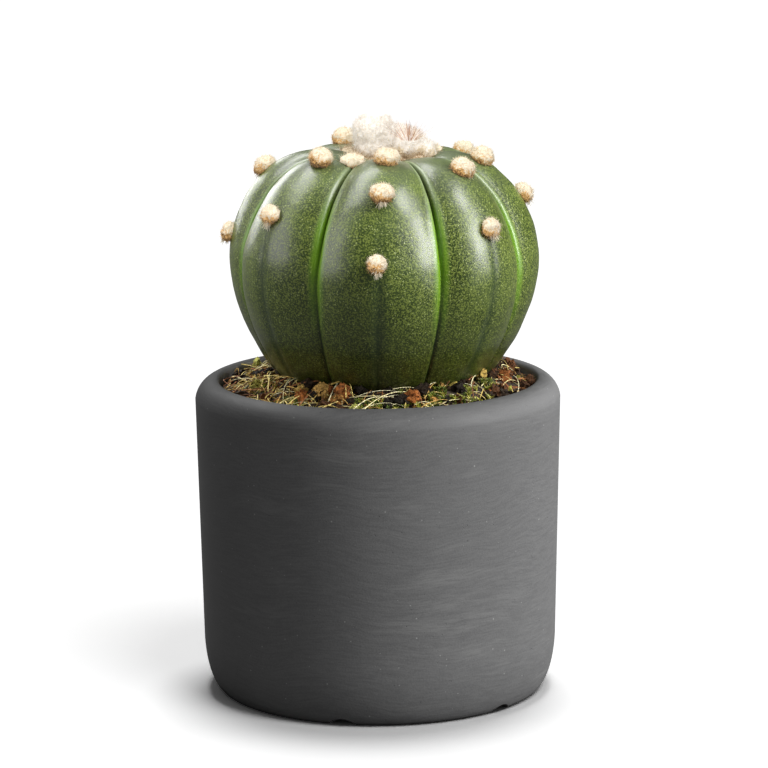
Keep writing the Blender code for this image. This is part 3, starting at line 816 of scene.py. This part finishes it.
def remeshed(name, lumps):
    """One closed skin over several balls, in the world."""
    bm = bmesh.new()
    for middle, half_sizes, lean in lumps:
        turn = Matrix.Rotation(radians(lean), 4, "Y")
        shape = plant_frame @ Matrix.Translation(middle) @ turn @ Matrix.Diagonal((*half_sizes, 1.0))
        bmesh.ops.create_icosphere(bm, subdivisions=4, radius=1.0, matrix=shape)
    rough = object_from(name + "_lumps", bm)
    skin = rough.modifiers.new("skin", "REMESH")
    skin.mode = "VOXEL"
    skin.voxel_size = CROWN_VOXEL
    mesh = settled(rough)
    bpy.data.objects.remove(rough)
    bm = bmesh.new()
    bm.from_mesh(mesh)
    for _ in range(3):
        bmesh.ops.smooth_vert(
            bm, verts=bm.verts, factor=0.5, use_axis_x=True, use_axis_y=True, use_axis_z=True
        )
    bm.normal_update()
    return bm


def woolly(name, lumps, low, high, material, lengths=CROWN_HAIR_LENGTHS):
    """A piece of the crown: uneven felt with upright grain, stained from its foot, and its hairs."""
    bm = remeshed(name, lumps)
    tint = bm.verts.layers.float.new("tint")
    across, up, height = CROWN_GRAIN
    for vert in bm.verts:
        place = vert.co.copy()
        grain = noise.noise(Vector((place.x * across, place.y * across, place.z * up)))
        vert.co = place + vert.normal * (uneven(place, CROWN_WAVES) + grain * height - CROWN_SINK)
        raised = place.z + 0.0022 * noise.noise(place * 420)
        vert[tint] = 1 - smoothstep(low, high, raised)
    piece = object_from(name, bm, material)
    hairs = []
    for spot, out, tint in on_surface(piece.data, CROWN_HAIRS[name], draw):
        away = any_way(draw)
        way = (out + away * 0.5 + Vector((0, 0, 0.35))).normalized()
        tip = spot + way * draw.uniform(*lengths)
        tip.z = min(tip.z, CROWN_TOP)
        hairs.append((*arched(spot, tip, away * 0.00005, HAIR_RADIUS), tint))
    fuzz = gathered(name + "_hairs", [strewn(stem_template(3, 2, 0.3), hairs)], material)
    for made in (piece, fuzz):
        wool.append(made)
        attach(made, "root")
        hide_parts("crown_wool")


crown_wool = cream_wool("crown_wool_white", BUD_WHITE, BUD_CREAM, BUD_TAN)
old_wool = cream_wool("crown_wool_old", WOOL_CREAM, WOOL_TAN, WOOL_BROWN)
woolly("wool_mat", WOOL_MAT, 0.1336, 0.1376, crown_wool, MAT_HAIR_LENGTHS)
woolly("wool_pads", WOOL_PADS, 0.1308, 0.1334, old_wool)
woolly("tall_bud", TALL_BUD, 0.1308, 0.1350, crown_wool)
woolly("second_bud", SECOND_BUD, 0.1316, 0.1364, crown_wool)
bristles = []
for number in range(BRISTLE_COUNT):
    spread = BRISTLE_SPREAD * (number + 0.5) / BRISTLE_COUNT
    turn = number * 137.5 + draw.uniform(-12, 12)
    tilt = Matrix.Rotation(radians(turn), 3, "Z") @ Matrix.Rotation(radians(spread), 3, "X")
    way = tilt @ Vector((0, 0, 1))
    root = BRISTLE_ROOT + Vector((way.x, way.y, 0)) * 0.0020
    tip = root + way * draw.uniform(*BRISTLE_LENGTHS)
    tip.z = min(tip.z, CROWN_TOP - PLANT_MIDDLE.z - 0.0004)
    arch = Vector((way.x, way.y, 0)) * draw.uniform(-0.0004, 0.0004)
    bristles.append((*arched(plant_frame @ root, plant_frame @ tip, arch, BRISTLE_RADIUS), draw.random()))
material, tree, shader = new_material("bristle_horn", 0.45)
horn = mixed(tree, fade(tree, carried(tree, "tint"), 0.2, 1.0), BRISTLE_PINK, WOOL_TAN)
horn = laid_over(tree, horn, BRISTLE_DARK, fade(tree, carried(tree, "reach"), 0.62, 1.0))
tree.links.new(horn, shader.inputs["Base Color"])
bud_bristles = gathered("bud_bristles", [strewn(stem_template(4, 5, 0.35), bristles)], material)
wool.append(bud_bristles)
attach(bud_bristles, "root")
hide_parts("crown_wool")

# The potting mix: dark peat pressed into the pot, level under the lip and heaped against the plant,
# with crumbs of coir and bark, dry fibres and sprigs of green moss worked into its top.
SOIL_EDGE_HEIGHT = 0.0752
SOIL_HEAP_HEIGHT = 0.0795
SOIL_HEAP_RADII = (0.026, 0.037)
SOIL_RELIEF = 0.0009
SOIL_FLAT_RADII = (0.0365, 0.0385)
SOIL_INNER_RADIUS = 0.018
SOIL_STEPS = 240
SOIL_RINGS = 56
SOIL_GRAIN = ((1500, 0.00035), (750, 0.0004))            # to the metre, and height
CLEARANCE = 0.0003
SEAT_CLEARANCE = 0.0004
HOLE_TOP = -0.012
HOLE_SIDES = 96
PEAT_DARK = (0.012, 0.008, 0.004)
PEAT_BROWN = (0.055, 0.033, 0.014)
PEAT_BIT = (0.20, 0.12, 0.05)


def soil_height(place):
    """The height of the mix at a place, heaped against the plant and uneven all over."""
    heap = 1 - smoothstep(*SOIL_HEAP_RADII, (place - PLANT_MIDDLE).xy.length)
    relief = noise.noise(Vector((place.x, place.y, 0.3)) * 320) * SOIL_RELIEF
    relief += noise.noise(Vector((place.x, place.y, 4.1)) * 110) * SOIL_RELIEF
    return SOIL_EDGE_HEIGHT + (SOIL_HEAP_HEIGHT - SOIL_EDGE_HEIGHT) * heap + relief


def soil_mesh():
    """The body of the mix, uneven and grainy on top."""
    floor_z = FLOOR_THICKNESS + CLEARANCE
    edge = wall_inside(SOIL_EDGE_HEIGHT) - CLEARANCE
    corner_z = FLOOR_THICKNESS + FLOOR_ROUNDING
    corner_x = wall_inside(corner_z) - FLOOR_ROUNDING
    inset = FLOOR_ROUNDING - CLEARANCE
    profile = [(0.0, floor_z)] + arc((corner_x, corner_z), inset, inset, -90, 0, 4)
    profile += straight((edge, SOIL_EDGE_HEIGHT), (SOIL_INNER_RADIUS, SOIL_EDGE_HEIGHT), SOIL_RINGS)
    bm = turned(profile + [(0.0, SOIL_EDGE_HEIGHT)], SOIL_STEPS, closed=False)
    for vert in bm.verts:
        if vert.co.z > SOIL_EDGE_HEIGHT - 0.0001:
            height = soil_height(vert.co) + uneven(vert.co, SOIL_GRAIN)
            flat = smoothstep(*SOIL_FLAT_RADII, vert.co.xy.length)
            vert.co.z = height + (SOIL_EDGE_HEIGHT - height) * flat
    return bm


def plant_hole():
    """The round shape that the ribs' ridges touch, a little larger, up to just under their girth."""
    rows = [row for row in ridge_points(60) if row[1] < HOLE_TOP]
    profile = [(0.0, rows[0][1] - SEAT_CLEARANCE)]
    for number in range(1, len(rows) - 1):
        out = ridge_out(rows, number) * SEAT_CLEARANCE
        profile.append((rows[number][0] + out.x, rows[number][1] + out.y))
    profile.append((0.0, profile[-1][1]))
    bm = turned(profile, HOLE_SIDES, closed=False)
    bm.transform(plant_frame)
    return bm


def peat():
    material, tree, shader = new_material("peat", 0.95)
    place = add(tree, "TexCoord").outputs["Object"]
    crumbs = cloud(tree, place, 700.0, 4.0, 0.7)
    colour = mixed(tree, fade(tree, crumbs, 0.42, 0.68), PEAT_DARK, PEAT_BROWN)
    colour = laid_over(tree, colour, PEAT_BIT, dotted(tree, place, 1400.0, 0.3, 0.16))
    coloured(tree, shader, colour, crumbs, 0.9, 0.0005)
    return material


peat_bed = object_from("peat_bed", soil_mesh())
cut_out(peat_bed, object_from("plant_hole", plant_hole()), peat(), solver="MANIFOLD")
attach(peat_bed, "root")
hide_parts("soil")

# The coarse part of the mix: broken crumbs of coir and bark, from dust to peppercorn size, more orange
# at the right and painted darker in front as the shade under the plant, with the two big granules
# that lie in front. They lie loose, a little into the peat.
DUST_COUNT = 800
DUST_RADII = (0.00025, 0.0007)
CLOD_COUNT = 270
CLOD_RADII = (0.0007, 0.0019)
CRUMB_SHAPES = 5
ORANGE_SHARE = 0.80
ORANGE_TINTS = (0.12, 0.50)
SOIL_OUTER = 0.0380
LEAN_DROP = 0.030
GRANULES = ((-27.0, 0.0292, 0.0021, 0.66), (-16.5, 0.0292, 0.0019, 0.50))
CRUMB_COLOURS = (
    (0.00, (0.010, 0.007, 0.003)),
    (0.25, (0.034, 0.017, 0.006)),
    (0.42, (0.100, 0.036, 0.009)),
    (0.54, (0.340, 0.110, 0.022)),
    (0.66, (0.440, 0.260, 0.070)),
    (0.78, (0.300, 0.270, 0.050)),
    (0.90, (0.420, 0.430, 0.070)),
    (1.00, (0.800, 0.700, 0.440)),
)
# The near-black laid into the hollows of the mottle on crumbs, fibres and moss: painted shade.
HOLLOW_SHADE = (0.10, 0.08, 0.055)


near_mix = [row for row in ridge_points(60) if row[1] < 0]
ridge_reach = min(near_mix, key=lambda row: abs(row[1] + PLANT_MIDDLE.z - SOIL_HEAP_HEIGHT))[0]


def skin_edge(angle):
    """How far from the pot's axis the plant's ridges reach at the mix, at an angle round the pot."""
    aside = PLANT_MIDDLE.x - sin(radians(PLANT_LEAN)) * LEAN_DROP
    return ridge_reach + aside * direction(int(angle) % 360).x


def soil_place(angle, share):
    """A place on the mix, at a share of the way from the plant's skin to the pot's wall."""
    inner = skin_edge(angle) + 0.0002
    place = direction(angle) * (inner + (SOIL_OUTER - inner) * share)
    place.z = soil_height(place)
    return place


def broken(seed, fineness):
    """A crumb of radius 1: a ball with dents and knobs, in two or three levels of fineness."""
    bm = bmesh.new()
    bmesh.ops.create_icosphere(bm, subdivisions=fineness, radius=1.0)
    for vert in bm.verts:
        shape = 1 + 0.45 * noise.noise(vert.co * 1.3 + Vector((seed * 7.1, 0, 0)))
        knobs = 0.34 * noise.noise(vert.co * 3.9 + Vector((0, seed * 5.3, 0)))
        vert.co *= shape + knobs * (fineness - 1)
    return mesh_from("crumb", bm)


def tint_material(name, colours, roughness, scale, depth):
    """A dull material whose tint picks a colour along a ramp, with a fine mottle over it, and
    painted shade in the mottle's hollows.
    """
    material, tree, shader = new_material(name, roughness)
    shader.inputs["Specular IOR Level"].default_value = 0.25
    place = add(tree, "TexCoord").outputs["Object"]
    ramp = add(tree, "ValToRGB", {"Fac": carried(tree, "tint")})
    band = ramp.color_ramp
    while len(band.elements) < len(colours):
        band.elements.new(0.5)
    for stop, (position, _) in zip(band.elements, colours):
        stop.position = position
    for stop, (_, colour) in zip(band.elements, colours):
        stop.color = (*colour, 1.0)
    mottle = cloud(tree, place, scale, 4.0, 0.7)
    # Painted shade: the low parts of the mottle, which the bump sinks, are darkened.
    hollow_shading = {0: fade(tree, mottle, 0.62, 0.34, 0.0, 0.85), 6: ramp.outputs["Color"], 7: HOLLOW_SHADE}
    dark = add(tree, "Mix", hollow_shading, data_type="RGBA", blend_type="MULTIPLY")
    coloured(tree, shader, dark.outputs[2], mottle, 0.8, depth)
    return material


draw = random.Random(23)
heaps = [[] for _ in range(CRUMB_SHAPES)]
clods = [[] for _ in range(CRUMB_SHAPES)]
for number in range(DUST_COUNT + CLOD_COUNT):
    large = number >= DUST_COUNT
    low, high = CLOD_RADII if large else DUST_RADII
    angle = draw.uniform(0, 360)
    size = low + (high - low) * draw.random() ** 2.0
    place = soil_place(angle, draw.uniform(0.04, 0.96) if large else draw.random())
    place.z += size * draw.uniform(0.0, 0.9)
    spin = draw.uniform(0, tau)
    about = Vector((draw.random() + 0.01, draw.random(), draw.random()))
    turn = Matrix.Rotation(spin, 4, about)
    shape = Matrix.Diagonal((size * draw.uniform(0.8, 1.3), size * draw.uniform(0.7, 1.1), size * 0.8, 1.0))
    # Crumbs in front get darker tints: painted shade under the plant's swell.
    front = smoothstep(0.3, 0.9, cos(radians(angle)))
    tint = draw.random() ** (1.3 + 1.5 * front)
    right = smoothstep(0.35, 0.9, sin(radians(angle)))
    if draw.random() < ORANGE_SHARE * right:
        tint = draw.uniform(*ORANGE_TINTS)
    matrix = Matrix.Translation(place) @ turn @ shape
    (clods if large else heaps)[number % CRUMB_SHAPES].append((matrix, (0, 0, 0), tint))
for angle, from_axis, size, tint in GRANULES:
    place = direction(angle) * from_axis
    place.z = soil_height(place) + size * 0.8
    shape = Matrix.Diagonal((size, size, size, 1.0))
    clods[0].append((Matrix.Translation(place) @ shape, (0, 0, 0), tint))
crumb_material = tint_material("coir_and_bark", CRUMB_COLOURS, 0.9, 1900.0, 0.0004)
crumbs = [strewn(broken(number, 2), heap) for number, heap in enumerate(heaps)]
crumbs += [strewn(broken(number, 3), heap) for number, heap in enumerate(clods)]
mix_crumbs = gathered("mix_crumbs", crumbs, crumb_material)
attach(mix_crumbs, "root")
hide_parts("soil")

# The dry fibres: hair-thin stems of old moss and coir that lie criss-cross on the peat, thickest at
# the left. Some arch clear of it, and a few pale ones are longer.
FIBRE_COUNT = 420
FIBRE_RADII = (0.00007, 0.00020)
FIBRE_LENGTHS = (0.0025, 0.0085)
LONG_FIBRE_COUNT = 46
LONG_FIBRE_LENGTHS = (0.008, 0.015)
LONG_FIBRE_RADIUS = 0.00012
TANGLE_DEPTH = 0.0020
LEFT_HEAP = (0.34, -62, 30)                              # share of the fibres, angle and spread
FIBRE_COLOURS = (
    (0.00, (0.130, 0.055, 0.020)),
    (0.25, (0.420, 0.160, 0.060)),
    (0.45, (0.640, 0.450, 0.115)),
    (0.75, (0.880, 0.740, 0.270)),
    (1.00, (1.000, 0.960, 0.660)),
)


def held_in(place, from_skin, from_wall=0.0):
    """Moves a place clear of the plant's skin and the pot's wall and onto the mix."""
    inner = skin_edge(atan2(place.x, -place.y) % tau / tau * 360) + from_skin
    place.xy = place.xy.normalized() * min(max(place.xy.length, inner), SOIL_OUTER - from_wall)
    place.z = soil_height(place)


def laid_fibre(angle, share, length, turn, rise, lift=0.0):
    """Where a fibre lies on the mix, or a lift over it: its ends, kept between the plant and the wall,
    and its arch."""
    middle = soil_place(angle, share)
    way = direction(angle + 90 + turn) * length / 2
    ends = []
    for end in (middle - way, middle + way):
        held_in(end, 0.0004)
        end.z += draw.uniform(0.0, 0.0005) + lift
        ends.append(end)
    bend = direction(angle) * draw.uniform(-0.14, 0.14) * length
    middle_out = ((ends[0] + ends[1]) / 2).xy.length
    if middle_out < skin_edge(angle):
        bend = direction(angle) * 0.08 * length
    return ends[0], ends[1], bend + Vector((0, 0, rise))


draw = random.Random(31)
fibres = []
heap_share, heap_angle, heap_spread = LEFT_HEAP
for _ in range(FIBRE_COUNT):
    angle = draw.uniform(0, 360)
    if draw.random() < heap_share:
        angle = draw.gauss(heap_angle, heap_spread) % 360
    rise = 0.0001 + 0.0012 * draw.random() ** 2
    lift = TANGLE_DEPTH * draw.random() ** 1.4
    length = draw.uniform(*FIBRE_LENGTHS)
    start, end, arch = laid_fibre(angle, draw.random(), length, draw.gauss(0, 60), rise, lift)
    fibres.append((*arched(start, end, arch, draw.uniform(*FIBRE_RADII)), draw.uniform(0.0, 0.95)))
for _ in range(LONG_FIBRE_COUNT):
    rise = 0.0003 + 0.0015 * draw.random() ** 2
    length = draw.uniform(*LONG_FIBRE_LENGTHS)
    share = draw.uniform(0.2, 0.8)
    start, end, arch = laid_fibre(draw.uniform(0, 360), share, length, draw.gauss(0, 20), rise, 0.0008)
    fibres.append((*arched(start, end, arch, LONG_FIBRE_RADIUS), draw.uniform(0.8, 1.0)))
fibre_material = tint_material("dry_fibre", FIBRE_COLOURS, 0.75, 1800.0, 0.0001)
dry_fibres = gathered("dry_fibres", [strewn(stem_template(4, 7, 0.55), fibres)], fibre_material)
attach(dry_fibres, "root")
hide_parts("soil")

# The living moss: small sprigs of yellow-green leaves in loose clumps, at the front and the right
# for the most part, rooted in the peat between the crumbs.
MOSS_CLUMPS = (
    (-6, 0.55, 18), (4, 0.60, 20), (12, 0.45, 16), (22, 0.62, 16), (30, 0.50, 14),
    (40, 0.62, 16), (55, 0.50, 10), (-36, 0.50, 18), (-46, 0.70, 10), (-66, 0.45, 12),
    (-24, 0.80, 6), (120, 0.50, 12), (165, 0.60, 14), (-120, 0.50, 12), (-160, 0.50, 10),
)                                                       # angle, share of the way to the wall, sprigs
MOSS_SPREAD = 0.0030
LEAVES_PER_SPRIG = 13
LEAF_LENGTH = 0.0013
LEAF_WIDTH = 0.00022
MOSS_COLOURS = (
    (0.00, (0.030, 0.050, 0.004)),
    (0.45, (0.095, 0.130, 0.008)),
    (0.80, (0.300, 0.310, 0.030)),
    (1.00, (0.520, 0.480, 0.100)),
)
draw = random.Random(43)
leaves = []
for clump_angle, clump_share, sprigs in MOSS_CLUMPS:
    heart = soil_place(clump_angle, clump_share)
    for _ in range(sprigs):
        root = heart + Vector((draw.gauss(0, 1), draw.gauss(0, 1), 0)) * MOSS_SPREAD * 0.5
        held_in(root, 0.0008, 0.0008)
        root.z += 0.0001
        lean = Vector((draw.gauss(0, 0.35), draw.gauss(0, 0.35), 1)).normalized()
        height = draw.uniform(0.0006, 0.0018)
        sprig_tint = draw.uniform(0.15, 0.95)
        for leaf in range(LEAVES_PER_SPRIG):
            foot = root + lean * height * leaf / LEAVES_PER_SPRIG
            level = direction(leaf * 137.5)
            tip = foot + (level + lean * 0.9).normalized() * LEAF_LENGTH * draw.uniform(0.6, 1.1)
            tint = sprig_tint * draw.uniform(0.8, 1.15)
            leaves.append((*arched(foot, tip, Vector((0, 0, 0.00008)), LEAF_WIDTH), min(1.0, tint)))
moss_material = tint_material("green_moss", MOSS_COLOURS, 0.7, 1500.0, 0.0001)
moss = gathered("moss_sprigs", [strewn(stem_template(3, 2, 0.15), leaves)], moss_material)
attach(moss, "root")
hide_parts("soil")

# The light: two suns for the floor alone, a large soft box at the right, three weak ones for the pot
# and the mix, five that silver the plant's shoulders but miss the pot, and two wide suns for the wool
# alone, which would burn out in the others.
SURROUND = 0.09
FLOOR_DOMES = {
    "from_behind": (1.52, 20.0, 170.0, 79.0),      # power, width in degrees, azimuth, elevation
    "from_right": (0.78, 24.0, 42.0, 60.0),
}
SOFT_BOXES = {
    "key_right": (17.0, (0.46, 0.62), 1.15, 68.0, 24.0, ()),
    "front": (2.6, (0.60, 0.60), 1.15, 18.0, 22.0, (cactus_skin,)),
    "edge_right": (7.0, (0.22, 0.70), 1.20, 126.0, 18.0, (cactus_skin,)),
    "edge_left": (7.0, (0.50, 0.50), 1.20, -146.0, 48.0, (cactus_skin,)),
    "sheen_right": (9.0, (0.34, 0.42), 1.10, 64.0, 57.0, (clay_pot,)),
    "sheen_low": (7.0, (0.80, 0.50), 1.20, -148.0, 16.0, (clay_pot,)),
    "sheen_high": (14.0, (1.20, 0.38), 1.20, -124.0, 61.0, (clay_pot,)),
    "sheen_left": (7.2, (0.80, 0.80), 1.20, -77.0, 20.0, (clay_pot,)),
    "lift_right": (3.0, (0.60, 0.60), 1.15, 74.0, 6.0, (clay_pot,)),
}                                  # power, size, distance, azimuth, elevation, and what it misses
WOOL_DOMES = {
    "wool_front": (5.1, 140.0, 4.0, 36.0),        # power, width in degrees, azimuth, elevation
    "wool_back": (1.8, 110.0, -165.0, 34.0),
}
LIGHT_AIM = Vector((0.0, 0.0, 0.085))


def light_way(azimuth, elevation):
    """The way to a lamp from what it lights."""
    return direction(azimuth) * cos(radians(elevation)) + Vector((0.0, 0.0, sin(radians(elevation))))


def hung(name, kind, power, way, distance, objects, state):
    """A lamp that faces the plant, and lights these objects alone, with INCLUDE, or all but them."""
    lamp = bpy.data.objects.new(name, bpy.data.lights.new(name, kind))
    lamp.data.energy = power
    turn = way.to_track_quat("Z", "Y").to_matrix().to_4x4()
    lamp.matrix_world = Matrix.Translation(LIGHT_AIM + way * distance) @ turn
    bpy.context.scene.collection.objects.link(lamp)
    receivers = bpy.data.collections.new(name + "_receivers")
    for number, obj in enumerate(objects):
        receivers.objects.link(obj)
        receivers.collection_objects[number].light_linking.link_state = state
    lamp.light_linking.receiver_collection = receivers
    return lamp.data


for domes, objects in ((FLOOR_DOMES, [floor]), (WOOL_DOMES, wool)):
    for name, (power, width, azimuth, elevation) in domes.items():
        dome = hung(name, "SUN", power, light_way(azimuth, elevation), 1.0, objects, "INCLUDE")
        dome.angle = radians(width)
for name, (power, size, distance, azimuth, elevation, missed) in SOFT_BOXES.items():
    unlit = [floor, *wool, *missed]
    box = hung(name, "AREA", power, light_way(azimuth, elevation), distance, unlit, "EXCLUDE")
    box.shape = "RECTANGLE"
    box.size, box.size_y = size
world = bpy.data.worlds.new("studio")
world.use_nodes = True
backdrop = world.node_tree.nodes["Background"]
seen = add(world.node_tree, "LightPath").outputs["Is Camera Ray"]
shade = mixed(world.node_tree, seen, (SURROUND,) * 3, (1.0, 1.0, 1.0))
world.node_tree.links.new(shade, backdrop.inputs["Color"])
bpy.context.scene.world = world
